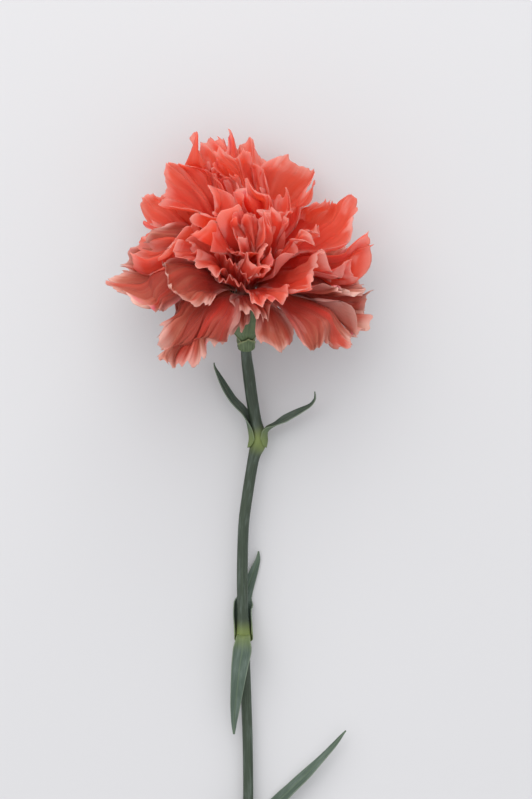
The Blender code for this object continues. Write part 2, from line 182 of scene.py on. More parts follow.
# The factors by which a petal differs from its row: in its folds' depth, and in other measures.
PETAL_SEED = 1000
FOLD_VARIETY = (0.75, 1.3)
VARIETY = (0.8, 1.25)

# A petal's own folds: how sharply they are creased, what keeps a creased wave's middle at 0, how many
# more small ones there are and how deep, and the fold and the crimp that make one unit of the lean
# from which the finish paints shade in the valleys and highlights on the crests.
CREASE = 0.38
CREASE_MIDDLE = 1.27
SMALL_FOLDS = 1.9
SMALL_FOLD_DEPTH = 0.55
DEEP_FOLD = 0.15
DEEP_CRIMP = 1.1 * MM
# Crumples of (length, share): how the sheets wander, each by up to CRUMPLE_OWN out of step, and how
# far out of the mouth they have their full height.
CRUMPLES = ((27 * MM, 1.0), (14 * MM, 0.5), (8 * MM, 0.24), (5 * MM, 0.08))
CRUMPLE_OWN = 1.0
CRUMPLE_FULL = 30 * MM
CRUMPLE_SEED = 7
# A rim's swings and wanders are in radians from a petal's middle to its side. The rim's crimp: the
# share of the blade where it starts, how it grows from there, the fewest and the most waves to a mm,
# how their height swings as (radians, share), and the fine waves on them.
CRIMP_FROM = 0.40
CRIMP_POWER = 1.4
CRIMPS_PER_MM = (0.10, 0.15)
CRIMP_SWING = (6, 0.4)
FINE_CRIMP = 0.55
FINE_CRIMPS = 3.1
# Teeth of a petal's rim: the fewest and the most to a mm, how they wander as (radians, share of a
# tooth), their depth and shape, how the depth swings, and the fine teeth on them.
TEETH_PER_MM = (0.46, 0.6)
TOOTH_WANDER = ((7, 0.35), (17, 0.2))
TOOTH_DEPTH = 1.5 * MM
TOOTH_POWER = 1.2
DEPTH_MIDDLE = 0.55
DEPTH_SWING = 0.45
TOOTH_SWINGS = (4.4, 9.1)
FINE_TEETH = 2.6
FINE_WANDER = (11, 0.3)
FINE_TOOTH_DEPTH = 0.55 * MM
FINE_MOST = 1.3
# The rarer clefts between groups of teeth. CLEFT_SLOPE narrows them.
CLEFTS_PER_TOOTH = 0.24
CLEFT_WANDER = (3, 0.3)
CLEFT_SLOPE = 2.2
CLEFT_POWER = 1.5
CLEFT_SWING = 5
# Teeth down a petal's sides: the share of its length where they start, how fast they grow from there,
# how many to a mm, what share of a tooth each side's are shifted by, how they wander as (radians to a
# tooth, share of a tooth), and their depth and shape.
SIDE_TEETH_FROM = 0.5
SIDE_TEETH_GROWTH = 4
SIDE_TEETH_PER_MM = 0.42
SIDE_TEETH_OFFSET = 0.3
SIDE_WANDER = (2.1, 0.4)
SIDE_TOOTH_DEPTH = 1.1 * MM
SIDE_TOOTH_POWER = 1.3
SIDE_EDGE_POWER = 8
# A petal's rim is this much of its thickness, and thickens over this many mm, in so many steps.
THINNEST = 0.3
THIN_REACH = 2.0
THIN_STEPS = 8
# Faces of a petal's sheet: per mm of its width, and along it.
PETAL_FACES_PER_MM = 4.0
PETAL_ALONG = 58


def softened(share):
    """0 to 1, level at both ends."""
    share = np.clip(share, 0, 1)
    return share * share * (3 - 2 * share)


def eased(value, knots):
    """A smooth curve through knots of (place, height), level at each of them."""
    places = np.array([knot[0] for knot in knots], float)
    heights = np.array([knot[1] for knot in knots], float)
    index = np.clip(np.searchsorted(places, value, side="right") - 1, 0, len(knots) - 2)
    share = softened((value - places[index]) / (places[index + 1] - places[index]))
    return heights[index] * (1 - share) + heights[index + 1] * share


def head_point(radius, azimuth, height):
    """The points at a radius from the head's axis, an azimuth, and a height above the mouth."""
    across = (radius * np.cos(azimuth))[:, None] * np.array(FRONT)
    across = across + (radius * np.sin(azimuth))[:, None] * np.array(RIGHT)
    return np.array(MOUTH) + across + height[:, None] * np.array(AXIS)


def uneven(points):
    """Shifts the points of the head by the slow waves."""
    away = points - np.array(MOUTH)
    shift = np.zeros_like(points)
    for length, height, start in HEAD_WAVES:
        for axis, (way, later) in enumerate(HEAD_WAVE_WAYS):
            phase = TURN / length * (away @ np.array(way)) + later * start
            shift[:, axis] += height * np.sin(phase)
    distance = np.linalg.norm(away, axis=1)
    share = (distance - HEAD_WAVES_FROM) / (HEAD_WAVES_FULL - HEAD_WAVES_FROM)
    return points + shift * softened(share)[:, None]


def laid_on_table(points):
    """Bends whatever would go below the table so that it lies along it."""
    laid = points.copy()
    laid[:, 2] = TABLE_SOFTNESS * np.log1p(np.exp(points[:, 2] / TABLE_SOFTNESS))
    laid[:, 2] += PETAL_THICKNESS / 2
    return laid


CRUMPLE_WAYS = np.random.default_rng(CRUMPLE_SEED).normal(size=(len(CRUMPLES), 3, 3))
CRUMPLE_WAYS = CRUMPLE_WAYS / np.linalg.norm(CRUMPLE_WAYS, axis=2, keepdims=True)


def creased(phase):
    """A wave like a sine that is sharper at its lows, as a folded petal is."""
    return (1 - CREASE) * np.sin(phase) + CREASE * (2 * np.abs(np.sin(phase / 2)) - CREASE_MIDDLE)


def toothed(at):
    """0 at the tip of a tooth and 1 in the gap between two. There is a gap at each whole number."""
    return np.abs(at % 1 - 0.5) * 2


def wandering(at, wander, start=0.0):
    """A wave, as (radians to one, height)."""
    radians, height = wander
    return height * np.sin(radians * at + start)


class Petal:
    """A patch of a funnel round the head's axis. Its rank, from 0 to 1 outwards, is set when all the
    petals are known."""

    def __init__(self, row, group, seed):
        azimuth, opening, length, width, self.cup, self.twist, self.curl, self.spoon, fold = row
        folds, crimp, crumple, cleft, self.painted_shade = group
        widest = math.radians(float(eased(np.array(float(azimuth)), OUTER_OPENING)))
        self.azimuth = math.radians(azimuth)
        self.share = (math.radians(opening) - INNER_OPENING) / (widest - INNER_OPENING)
        self.length = length * MM
        self.width = width * MM
        self.crumple = crumple * MM
        self.cleft = cleft * MM
        self.seed = seed
        draw = np.random.default_rng(PETAL_SEED + seed).uniform
        self.fold = fold * draw(*FOLD_VARIETY)
        self.folds = folds * draw(*VARIETY)
        self.crimp = crimp * MM * draw(*VARIETY)
        self.teeth = width * draw(*TEETH_PER_MM)
        self.crimps = width * draw(*CRIMPS_PER_MM)
        starts = draw(0, TURN, 12)
        self.fold_starts = starts[0:2]
        self.tooth_starts = starts[2:4]
        self.depth_starts = starts[4:6]
        self.cleft_starts = starts[6:8]
        self.crimp_starts = starts[8:11]
        self.side_start = starts[11]
        self.own_phases = draw(-CRUMPLE_OWN, CRUMPLE_OWN, (len(CRUMPLES), 3))

    def opening(self, azimuth):
        """How far the petal's funnel opens from the axis at an azimuth."""
        outer = np.radians(eased((np.degrees(azimuth) + 180) % 360 - 180, OUTER_OPENING))
        return INNER_OPENING + (outer - INNER_OPENING) * self.share

    def distance_out(self, distance):
        """About how far from the axis the petal is, this far along it."""
        opening = float(self.opening(np.array(self.azimuth)))
        reach = np.maximum(distance, 0) * max(LEAST_SPREAD, math.sin(opening)) * SPREAD
        return CLAW_OUTER_MOUTH * self.rank + CLAW_INNER + reach

    def side(self, azimuth):
        """Where across the petal an azimuth is, from -1 to 1."""
        half_turn = self.width / 2 / float(self.distance_out(SIDE_AT * self.length))
        return (azimuth - self.azimuth) / min(half_turn, MOST_SIDE_TURN)

    def folded(self, side):
        """How far the petal's own folds lean out at a place across it."""
        phase = self.folds * side * math.pi
        fold = creased(phase + self.fold_starts[0])
        return fold + SMALL_FOLD_DEPTH * creased(phase * SMALL_FOLDS + self.fold_starts[1])

    def direction(self, distance, azimuth):
        """The angle from the axis at which the petal runs, this far along it."""
        beyond = np.maximum(distance, 0)
        share = beyond / self.length
        angle = self.opening(azimuth) * (1 - np.exp(-beyond / BEND))
        angle = angle + CURL_STRENGTH * self.curl * np.clip(share - CURL_FROM, 0, 1) ** 2
        angle = angle - SPOON_STRENGTH * self.spoon * np.sin(np.clip(share, 0, 1) * math.pi)
        waves = 0
        for count, turn, start, height in SHARED_WAVES:
            skew = WAVE_SKEW * np.sin(2 * azimuth + start)
            waves = waves + height * np.sin(count * azimuth + turn * self.share + start + skew)
        side = self.side(azimuth)
        own = self.twist * side - self.cup * (side * side - CUP_REST)
        own = own + self.fold * self.folded(side)
        return angle + (waves + own) * (beyond / WAVE_REACH) ** WAVE_POWER

    def funnel(self, distance, azimuth):
        """Radius and height above the mouth, this far along the petal from the mouth."""
        mouth = CLAW_INNER + CLAW_OUTER_MOUTH * self.rank
        foot = CLAW_INNER + CLAW_OUTER_FOOT * self.rank
        beyond = np.maximum(distance, 0)
        radius = mouth + (mouth - foot) * np.minimum(distance, 0) / CLAW_LENGTH
        height = np.minimum(distance, 0)
        for step in range(FUNNEL_STEPS):
            angle = self.direction(beyond * (step + 0.5) / FUNNEL_STEPS, azimuth)
            radius = radius + np.sin(angle) * beyond / FUNNEL_STEPS
            height = height + np.cos(angle) * beyond / FUNNEL_STEPS
        return radius, height

    def plain_outline(self, b):
        """How much of its length the petal has at b across, without teeth."""
        starts = np.random.default_rng(self.seed).uniform(0, TURN, len(END_WAVES))
        length = END_MIDDLE - END_ROUNDING * np.abs(b) ** END_POWER
        for (count, height), start in zip(END_WAVES, starts):
            length = length + height * np.sin(count * math.pi * b + start)
        corner = np.clip((np.abs(b) - CORNER_FROM) / (1 - CORNER_FROM), 0, 1)
        return length - CORNER_ROUNDING * corner**2

    def outline(self, b):
        """How much of its length the petal has at b across, with its teeth and clefts."""
        length = self.plain_outline(b)
        at = (b + 1) / 2 * self.teeth
        for wander, start in zip(TOOTH_WANDER, self.tooth_starts):
            at = at + wandering(b, wander, start)
        swings = [np.sin(count * b + start) for count, start in zip(TOOTH_SWINGS, self.depth_starts)]
        depth = DEPTH_MIDDLE + DEPTH_SWING * swings[0] * swings[1]
        length = length - TOOTH_DEPTH / self.length * toothed(at) ** TOOTH_POWER * depth
        gap = toothed(at * FINE_TEETH + wandering(b, FINE_WANDER))
        length = length - FINE_TOOTH_DEPTH / self.length * gap * (FINE_MOST - depth)
        at = (b + 1) / 2 * self.teeth * CLEFTS_PER_TOOTH
        at = at + wandering(b, CLEFT_WANDER, self.cleft_starts[0])
        gap = np.clip(toothed(at) * CLEFT_SLOPE - (CLEFT_SLOPE - 1), 0, 1)
        depth = DEPTH_MIDDLE + DEPTH_SWING * np.sin(CLEFT_SWING * b + self.cleft_starts[1])
        return length - self.cleft / self.length * gap**CLEFT_POWER * depth

    def side_teeth(self, b, distance):
        """How much narrower the petal's half is between the teeth down its side."""
        at = distance / MM * SIDE_TEETH_PER_MM + np.sign(b) * SIDE_TEETH_OFFSET + self.side_start
        gap = toothed(at + wandering(at, SIDE_WANDER))
        grown = softened((distance / self.length - SIDE_TEETH_FROM) * SIDE_TEETH_GROWTH)
        return SIDE_TOOTH_DEPTH * gap**SIDE_TOOTH_POWER * grown * np.abs(b) ** SIDE_EDGE_POWER

    def crimped(self, b, blade):
        """How far the rim's crimp moves the sheet out of its own face."""
        first, second, third = self.crimp_starts
        band = np.clip((blade - CRIMP_FROM) / (1 - CRIMP_FROM), 0, 1) ** CRIMP_POWER
        phase = b * math.pi * self.crimps
        long = np.sin(phase + first) * (1 - CRIMP_SWING[1] + wandering(b, CRIMP_SWING, second))
        fine = np.sin(phase * FINE_CRIMPS + third)
        return self.crimp * band * (long + FINE_CRIMP * fine)

    def crumpled(self, points, distance):
        """Lets the petal wander as its neighbours do, and a little in its own way."""
        shift = np.zeros_like(points)
        for index, (length, share) in enumerate(CRUMPLES):
            for axis in range(3):
                run = points @ CRUMPLE_WAYS[index, axis] * TURN / length
                shift[:, axis] += share * np.sin(run + self.own_phases[index, axis])
        return points + shift * (self.crumple * softened(distance / CRUMPLE_FULL))[:, None]

    def place(self, b, t):
        """The petal's points at b across and t along it, and what its finish reads of them."""
        claw = np.interp(t, (0, CLAW_SHARE), (-CLAW_LENGTH, 0))
        blade = np.clip((t - CLAW_SHARE) / (1 - CLAW_SHARE), 0, 1)
        length = self.length * self.outline(b)
        distance = np.where(t < CLAW_SHARE, claw, blade * length)
        widening = np.clip(WIDENING * np.maximum(distance, 0) / self.length, 0, 1)
        widening = widening**WIDENING_POWER
        half_width = CLAW_HALF_WIDTH + (self.width / 2 - CLAW_HALF_WIDTH) * widening
        half_width = half_width - self.side_teeth(b, distance)
        turn = b * half_width / self.distance_out(distance)
        azimuth = self.azimuth + WIDEST_HALF_TURN * np.tanh(turn / WIDEST_HALF_TURN)
        radius, height = self.funnel(distance, azimuth)
        crimp = self.crimped(b, blade)
        opening = np.minimum(self.opening(azimuth), math.pi / 2)
        radius = radius - crimp * np.cos(opening)
        height = height + crimp * np.sin(opening)
        points = self.crumpled(uneven(head_point(radius, azimuth, height)), distance)
        fan = b * self.width / 2 / MM
        rim = np.where(t < CLAW_SHARE, self.length, (1 - blade) * length)
        rim = np.minimum(rim, (1 - np.abs(b)) * half_width) / MM
        # Each point holds its petal's share of painted shade, which the finish reads.
        painted_shade = np.full(len(b), self.painted_shade)
        number = np.full(len(b), float(self.seed))
        lean = self.folded(self.side(azimuth)) * self.fold / DEEP_FOLD + crimp / DEEP_CRIMP
        spread = np.stack((fan, distance / self.length, number), axis=1)
        edge = np.stack((rim, painted_shade, lean), axis=1)
        return laid_on_table(points), {"petal_place": spread, "petal_rim_and_painted_light": edge}


def every_petal():
    """Every petal, from the middle of the head outwards, as the model's nodes are numbered."""
    found = []
    for *group, rows in PETAL_GROUPS:
        for row in rows:
            found.append(Petal(row, group, len(found)))
    found.sort(key=lambda petal: petal.share)
    for inner, petal in zip(found, found[1:]):
        petal.share = max(petal.share, inner.share + SHARE_STEP)
    for index, petal in enumerate(found):
        petal.rank = (index + 0.5) / len(found)
    return found


# ---------- Finishes ----------


class Wire:
    """A number or a colour that a finish works out. A number takes part in sums."""

    def __init__(self, finish, socket):
        self.finish = finish
        self.socket = socket

    def __add__(self, other):
        return self.finish.sum("ADD", self, other)

    __radd__ = __add__

    def __sub__(self, other):
        return self.finish.sum("SUBTRACT", self, other)

    def __rsub__(self, other):
        return self.finish.sum("SUBTRACT", other, self)

    def __mul__(self, other):
        return self.finish.sum("MULTIPLY", self, other)

    __rmul__ = __mul__

    def clipped(self):
        return self.finish.node("ShaderNodeClamp", {}, {"Value": self})["Result"]

    def between(self, low, high):
        """0 below low, 1 above high, and smooth between them. Low may be the larger one."""
        settings = {"interpolation_type": "SMOOTHSTEP"}
        values = {"Value": self, "From Min": low, "From Max": high}
        return self.finish.node("ShaderNodeMapRange", settings, values)["Result"]


class Outputs:
    """What a node gives out, by name or number."""

    def __init__(self, finish, node):
        self.finish = finish
        self.node = node

    def __getitem__(self, name):
        return Wire(self.finish, self.node.outputs[name])


class Finish:
    """A material whose surface is one Principled shader."""

    def __init__(self, name, **constants):
        self.material = bpy.data.materials.new(name)
        self.material.use_nodes = True
        self.tree = self.material.node_tree
        self.shader = self.tree.nodes["Principled BSDF"]
        self.surface = self.tree.nodes["Material Output"].inputs["Surface"]
        for socket, value in constants.items():
            self.shader.inputs[socket.replace("_", " ")].default_value = value

    def node(self, kind, settings, values):
        """A new node of a kind, with its settings and the values or links of its sockets."""
        made = self.tree.nodes.new(kind)
        stops = settings.pop("stops", None)
        for name, value in settings.items():
            setattr(made, name, value)
        if stops:
            ramp = made.color_ramp
            while len(ramp.elements) < len(stops):
                ramp.elements.new(1.0)
            for element, (place, colour) in zip(ramp.elements, stops):
                element.position = place
                element.color = (*colour, 1)
        for name, value in values.items():
            socket = made.inputs[name]
            if isinstance(value, Wire):
                self.tree.links.new(value.socket, socket)
            elif socket.type == "RGBA":
                socket.default_value = (*value, 1)
            else:
                socket.default_value = value
        return Outputs(self, made)

    def sum(self, operation, first, second):
        return self.node("ShaderNodeMath", {"operation": operation}, {0: first, 1: second})["Value"]

    def attribute(self, name):
        """The three numbers of a piece's own attribute."""
        vector = self.node("ShaderNodeAttribute", {"attribute_name": name}, {})["Vector"]
        parts = self.node("ShaderNodeSeparateXYZ", {}, {"Vector": vector})
        return parts["X"], parts["Y"], parts["Z"]

    def noise(self, place, fineness, detail=2.0, roughness=0.5):
        """Noise over a place of three numbers, each of them made as fine as fineness says."""
        x, y, z = (part * times for part, times in zip(place, fineness))
        vector = self.node("ShaderNodeCombineXYZ", {}, {"X": x, "Y": y, "Z": z})["Vector"]
        values = {"Vector": vector, "Scale": 1.0, "Detail": detail, "Roughness": roughness}
        return self.node("ShaderNodeTexNoise", {}, values)["Fac"]

    def ramp(self, factor, *stops):
        return self.node("ShaderNodeValToRGB", {"stops": stops}, {"Fac": factor})["Color"]

    def mix(self, factor, first, second):
        settings = {"data_type": "RGBA", "clamp_factor": True}
        return self.node("ShaderNodeMix", settings, {0: factor, 6: first, 7: second})[2]

    def feed(self, **links):
        """Links wires to the sockets of the shader."""
        for socket, wire in links.items():
            self.tree.links.new(wire.socket, self.shader.inputs[socket.replace("_", " ")])

    def bump(self, height, distance, strength=0.5):
        values = {"Height": height, "Distance": distance, "Strength": strength}
        return self.node("ShaderNodeBump", {}, values)["Normal"]

    def lets_light_through(self, share, colour):
        """Mixes in a share of the light that comes through from behind."""
        through = self.node("ShaderNodeBsdfTranslucent", {}, {"Color": colour})["BSDF"]
        own = Wire(self, self.shader.outputs["BSDF"])
        mixed = self.node("ShaderNodeMixShader", {}, {0: share, 1: own, 2: through})["Shader"]
        self.tree.links.new(mixed.socket, self.surface)


# Colours along a petal from the claw to the rim, for a bright one and for one with painted shade.
FACE_COLOURS = (
    (0.0, (0.62, 0.6, 0.34)),
    (0.1, (0.84, 0.13, 0.07)),
    (0.35, (0.88, 0.042, 0.026)),
    (0.6, (0.85, 0.095, 0.055)),
    (0.8, (0.93, 0.225, 0.145)),
    (0.92, (0.95, 0.31, 0.225)),
    (1.0, (0.96, 0.56, 0.45)),
)
SHADED_COLOURS = (
    (0.0, (0.38, 0.34, 0.18)),
    (0.12, (0.32, 0.05, 0.026)),
    (0.4, (0.27, 0.02, 0.012)),
    (0.65, (0.27, 0.04, 0.022)),
    (0.85, (0.38, 0.11, 0.064)),
    (1.0, (0.55, 0.25, 0.17)),
)
VEIN_COLOUR = (0.5, 0.03, 0.028)
RIM_COLOUR = (0.98, 0.74, 0.65)
VALLEY_SHADE_COLOUR = (0.68, 0.022, 0.01)
CREST_HIGHLIGHT_COLOUR = (0.97, 0.48, 0.4)
FLECK_COLOUR = (0.7, 0.03, 0.12)
GLOW_COLOUR = (0.97, 0.3, 0.18)
EDGE_COLOUR = (0.84, 0.24, 0.17)
SHADED_EDGE_COLOUR = (0.36, 0.11, 0.075)
# How much of each colour lies over the one below it at most.
VEIN_SHARE = 0.22
VALLEY_SHADE_SHARE = 0.45
CREST_HIGHLIGHT_SHARE = 0.65
BLUSH_SHARE = 0.7
FLECK_SHARE = 0.8
# The noises of a petal: how fine across it, along it and from petal to petal, then their detail and
# roughness.
STREAKS = ((1.1, 1.6, 7.3), 3.0, 0.6)
VEINS = ((4.2, 2.2, 3.1), 2.0, 0.5)
PATCHES = ((0.16, 2.5, 5.7), 2.0, 0.5)
PLEATS = ((0.55, 1.3, 4.1), 2.0, 0.5)
BLUSHES = ((0.45, 5.0, 2.3), 2.0, 0.6)
FLECKS = ((0.35, 3.0, 9.1), 1.0, 0.5)
GRAIN = ((9.0, 60.0, 1.0), 1.0, 0.5)
EDGE_STREAKS = ((0.9, 2.0, 7.3), 2.0, 0.5)
# How deep a petal's relief is, and how much of it each noise makes.
PETAL_RELIEF = 1.4 * MM
PETAL_RELIEF_STRENGTH = 0.75
VEIN_RELIEF = 0.15
STREAK_RELIEF = 0.35
GRAIN_RELIEF = 0.06
PLEAT_RELIEF = 1.2
# The share of the light that comes through a petal, and how much less where its shade is painted.
LIGHT_THROUGH = (0.70, 0.50)
EDGE_LIGHT_THROUGH = (0.40, 0.25)


def petal_finish(name, back):
    """The finish of a petal's face, for back 0, or of its back, for back 1: painted shade in deep red
    in the valleys of its folds, a painted highlight on the crests, pale on the rim, painted shade by
    each petal's share of it, and a few flecks by the rim."""
    finish = Finish(name, Sheen_Weight=0.06, Sheen_Roughness=0.5, Specular_IOR_Level=0.3)
    place = finish.attribute("petal_place")
    along = place[1]
    rim, painted_shade, lean = finish.attribute("petal_rim_and_painted_light")
    streaks = finish.noise(place, *STREAKS)
    veins = finish.noise(place, *VEINS)
    patches = finish.noise(place, *PATCHES)
    reach = (along + (streaks - 0.5) * 0.50 + (patches - 0.5) * 0.40).clipped()
    bright = finish.ramp(reach, *FACE_COLOURS)
    shaded = finish.ramp(reach, *SHADED_COLOURS)
    # Painted shade: petals are mixed toward the shaded colours by their share of it, and backs get a
    # quarter more.
    colour = finish.mix((painted_shade + 0.25 * back).clipped(), bright, shaded)
    colour = finish.mix(veins.between(0.42, 0.72) * VEIN_SHARE, colour, VEIN_COLOUR)
    crest = lean * (2 * back - 1)
    # Painted shade: the valleys of the folds are mixed toward deep red.
    colour = finish.mix(crest.between(0.1, -1.3) * VALLEY_SHADE_SHARE, colour, VALLEY_SHADE_COLOUR)
    # Painted highlight: the crests of the folds on the outer half of bright petals are mixed toward
    # pale.
    lit = crest.between(0.2, 1.2) * along.between(0.4, 0.9) * (1.0 - painted_shade)
    lit = lit * streaks.between(0.3, 0.6)
    colour = finish.mix(lit * CREST_HIGHLIGHT_SHARE, colour, CREST_HIGHLIGHT_COLOUR)
    pale = rim.between(3.2, 0.0) * (patches * 2.0 - 0.4) * (1.1 - 0.6 * painted_shade)
    colour = finish.mix(pale.clipped(), colour, RIM_COLOUR)
    blush = finish.noise(place, *BLUSHES).between(0.56, 0.66)
    blush = blush * rim.between(8.0, 2.0) * (1.0 - painted_shade)
    colour = finish.mix(blush * BLUSH_SHARE, colour, RIM_COLOUR)
    fleck = finish.noise(place, *FLECKS).between(0.66, 0.74)
    fleck = fleck * rim.between(4.0, 0.5) * streaks.between(0.35, 0.6)
    colour = finish.mix(fleck * FLECK_SHARE, colour, FLECK_COLOUR)
    height = veins * VEIN_RELIEF + streaks * STREAK_RELIEF
    height = height + finish.noise(place, *GRAIN) * GRAIN_RELIEF
    height = height + finish.noise(place, *PLEATS) * PLEAT_RELIEF
    relief = finish.bump(height, PETAL_RELIEF, PETAL_RELIEF_STRENGTH)
    finish.feed(Base_Color=colour, Roughness=0.52 + streaks * 0.18, Normal=relief)
    finish.lets_light_through(LIGHT_THROUGH[0] - LIGHT_THROUGH[1] * painted_shade, GLOW_COLOUR)
    return finish.material


def petal_edge_finish():
    finish = Finish("petal edge", Roughness=0.6, Sheen_Weight=0.1)
    painted_shade = finish.attribute("petal_rim_and_painted_light")[1]
    streaks = finish.noise(finish.attribute("petal_place"), *EDGE_STREAKS)
    colour = finish.mix(streaks.between(0.40, 0.75), EDGE_COLOUR, RIM_COLOUR)
    # Painted shade: the edges of shaded petals are mixed toward a dark edge colour.
    finish.feed(Base_Color=finish.mix(painted_shade * 0.8, colour, SHADED_EDGE_COLOUR))
    finish.lets_light_through(EDGE_LIGHT_THROUGH[0] - EDGE_LIGHT_THROUGH[1] * painted_shade, GLOW_COLOUR)
    return finish.material


FLOOR_COLOURS = ((0.575, 0.572, 0.576), (0.59, 0.587, 0.591))


def floor_finish():
    finish = Finish("pale card", Roughness=0.9, Specular_IOR_Level=0.2)
    place = finish.node("ShaderNodeTexCoord", {}, {})["Object"]
    mottle = finish.node("ShaderNodeTexNoise", {}, {"Vector": place, "Scale": 3.0})["Fac"]
    finish.feed(Base_Color=finish.mix(mottle, *FLOOR_COLOURS))
    return finish.material


GREEN_DARK = (0.018, 0.03, 0.016)
GREEN_MID = (0.036, 0.056, 0.03)
GREEN_BLOOM = (0.17, 0.215, 0.185)
GREEN_YELLOW = (0.17, 0.22, 0.05)
CUT_COLOURS = ((0.42, 0.47, 0.25), (0.62, 0.64, 0.42))
LEAF_COLOURS = ((0.04, 0.066, 0.046), (0.08, 0.115, 0.084))
LEAF_MIDDLE_COLOUR = (0.13, 0.18, 0.11)
LEAF_EDGE_COLOUR = (0.22, 0.27, 0.19)
CALYX_COLOURS = ((0.055, 0.085, 0.035), (0.105, 0.155, 0.06))
CALYX_BLOOM = (0.16, 0.21, 0.12)
CALYX_RIM_COLOUR = (0.34, 0.36, 0.16)
SKIN_RELIEF = 0.15 * MM
LEAF_RELIEF = 0.12 * MM


def stem_finish():
    """Fine ribs and a grey bloom, with a painted highlight in the bloom's colour down its right side,
    yellow joints and a few dark specks.
    """
    finish = Finish("stem skin", Specular_IOR_Level=0.4, Coat_Weight=0.1, Coat_Roughness=0.4)
    around, along, joint = finish.attribute("stem_place")
    place = (around, along, 1.0)
    ribs = finish.noise(place, (9.0, 0.05, 0.0))
    cloud = finish.noise(place, (1.2, 0.12, 3.0), 3.0, 0.6)
    specks = finish.noise(place, (5.0, 1.4, 5.0), 2.0, 0.6)
    colour = finish.mix(ribs.between(0.35, 0.7), GREEN_DARK, GREEN_MID)
    colour = finish.mix(cloud.between(0.45, 0.75) * 0.30, colour, GREEN_BLOOM)
    # Painted highlight: a strip down the stem's right side is mixed toward the bloom's colour.
    right = (around * around).between(0.25, 0.0) * cloud.between(0.2, 0.6)
    colour = finish.mix(right * 0.55, colour, GREEN_BLOOM)
    colour = finish.mix(joint * (0.6 + 0.5 * cloud), colour, GREEN_YELLOW)
    colour = finish.mix(specks.between(0.66, 0.74) * 0.25, colour, GREEN_DARK)
    relief = finish.bump(ribs + 0.3 * specks, SKIN_RELIEF)
    finish.feed(Base_Color=colour, Roughness=0.42 + cloud * 0.25, Normal=relief)
    return finish.material


def cut_end_finish():
    finish = Finish("cut end", Roughness=0.7)
    around, along, _ = finish.attribute("stem_place")
    fibres = finish.noise((around, along, 1.0), (6.0, 6.0, 0.0), 3.0, 0.6)
    finish.feed(Base_Color=finish.mix(fibres, *CUT_COLOURS))
    return finish.material


def leaf_finish():
    """Veins and a grey bloom, with a pale middle and edge, and yellow at the foot."""
    finish = Finish("leaf skin", Specular_IOR_Level=0.35)
    across, along, width = finish.attribute("leaf_place")
    place = (across, along, 1.0)
    veins = finish.noise(place, (7.0, 0.05, 0.0))
    cloud = finish.noise(place, (0.5, 0.12, 4.0), 3.0, 0.6)
    colour = finish.mix(veins.between(0.3, 0.7), *LEAF_COLOURS)
    colour = finish.mix(cloud.between(0.4, 0.8) * 0.5, colour, GREEN_BLOOM)
    colour = finish.mix((across * across).between(0.16, 0.0) * 0.45, colour, LEAF_MIDDLE_COLOUR)
    colour = finish.mix(width.between(0.88, 1.0) * 0.6, colour, LEAF_EDGE_COLOUR)
    colour = finish.mix(along.between(9.0, 2.0) * (0.4 + 0.5 * cloud), colour, GREEN_YELLOW)
    relief = finish.bump(veins, LEAF_RELIEF)
    finish.feed(Base_Color=colour, Roughness=0.5 + cloud * 0.2, Normal=relief)
    return finish.material


def calyx_finish(name, yellow):
    """Ribs and bloom, and a rim that is this much yellow."""
    finish = Finish(name, Specular_IOR_Level=0.4)
    around, along, rim = finish.attribute("calyx_place")
    place = (around, along, 1.0)
    ribs = finish.noise(place, (9.0, 0.08, 0.0))
    cloud = finish.noise(place, (1.0, 0.25, 3.0), 3.0, 0.6)
    colour = finish.mix(ribs.between(0.3, 0.7), *CALYX_COLOURS)
    colour = finish.mix(cloud.between(0.4, 0.8) * 0.5, colour, CALYX_BLOOM)
    colour = finish.mix(rim.between(1.2, 0.0) * yellow, colour, CALYX_RIM_COLOUR)
    relief = finish.bump(ribs, SKIN_RELIEF)
    finish.feed(Base_Color=colour, Roughness=0.45 + cloud * 0.2, Normal=relief)
    return finish.material


# ---------- Pieces ----------


# How near the two edges of a closed sheet's seam lie.
SEAM_REACH = 0.002 * MM


def put_in(name, data):
    made = bpy.data.objects.new(name, data)
    bpy.context.scene.collection.objects.link(made)
    return made


def as_piece(mesh, node):
    """Puts a mesh into the flower in place of the model's plain node."""
    piece = put_in(mesh.name, mesh)
    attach(piece, "root")
    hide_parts(node)
    return piece


def grid_mesh(name, across, along, place, close=False):
    """A sheet of across by along faces, which close makes a tube. Place gives its points for b from
    -1 to 1 and t from 0 to 1, and then a dictionary of what its finish reads."""
    bm = bmesh.new()
    bmesh.ops.create_grid(bm, x_segments=across, y_segments=along, size=0.5)
    flat = np.array([vert.co for vert in bm.verts])
    points, notes = place(2 * flat[:, 0], flat[:, 1] + 0.5)
    layers = {key: bm.verts.layers.float_vector.new(key) for key in notes}
    for index, vert in enumerate(bm.verts):
        vert.co = points[index]
        for key, layer in layers.items():
            vert[layer] = notes[key][index]
    if close:
        bmesh.ops.remove_doubles(bm, verts=bm.verts, dist=SEAM_REACH)
    for face in bm.faces:
        face.smooth = True
    mesh = bpy.data.meshes.new(name)
    bm.to_mesh(mesh)
    bm.free()
    return mesh


def thickened(piece, thickness, back=0, edge=0, thin=None):
    """Gives a sheet its thickness. Thin holds how far each point is from the rim, from 0 to 1."""
    solid = piece.modifiers.new("thickness", "SOLIDIFY")
    solid.thickness = thickness
    solid.offset = 0
    solid.material_offset = back
    solid.material_offset_rim = edge
    if thin is None:
        return
    body = piece.vertex_groups.new(name="body")
    steps = np.round(np.clip(thin, 0, 1) * THIN_STEPS).astype(int)
    for step in range(1, THIN_STEPS + 1):
        body.add(np.flatnonzero(steps == step).tolist(), step / THIN_STEPS, "REPLACE")
    solid.vertex_group = "body"
    solid.thickness_vertex_group = THINNEST


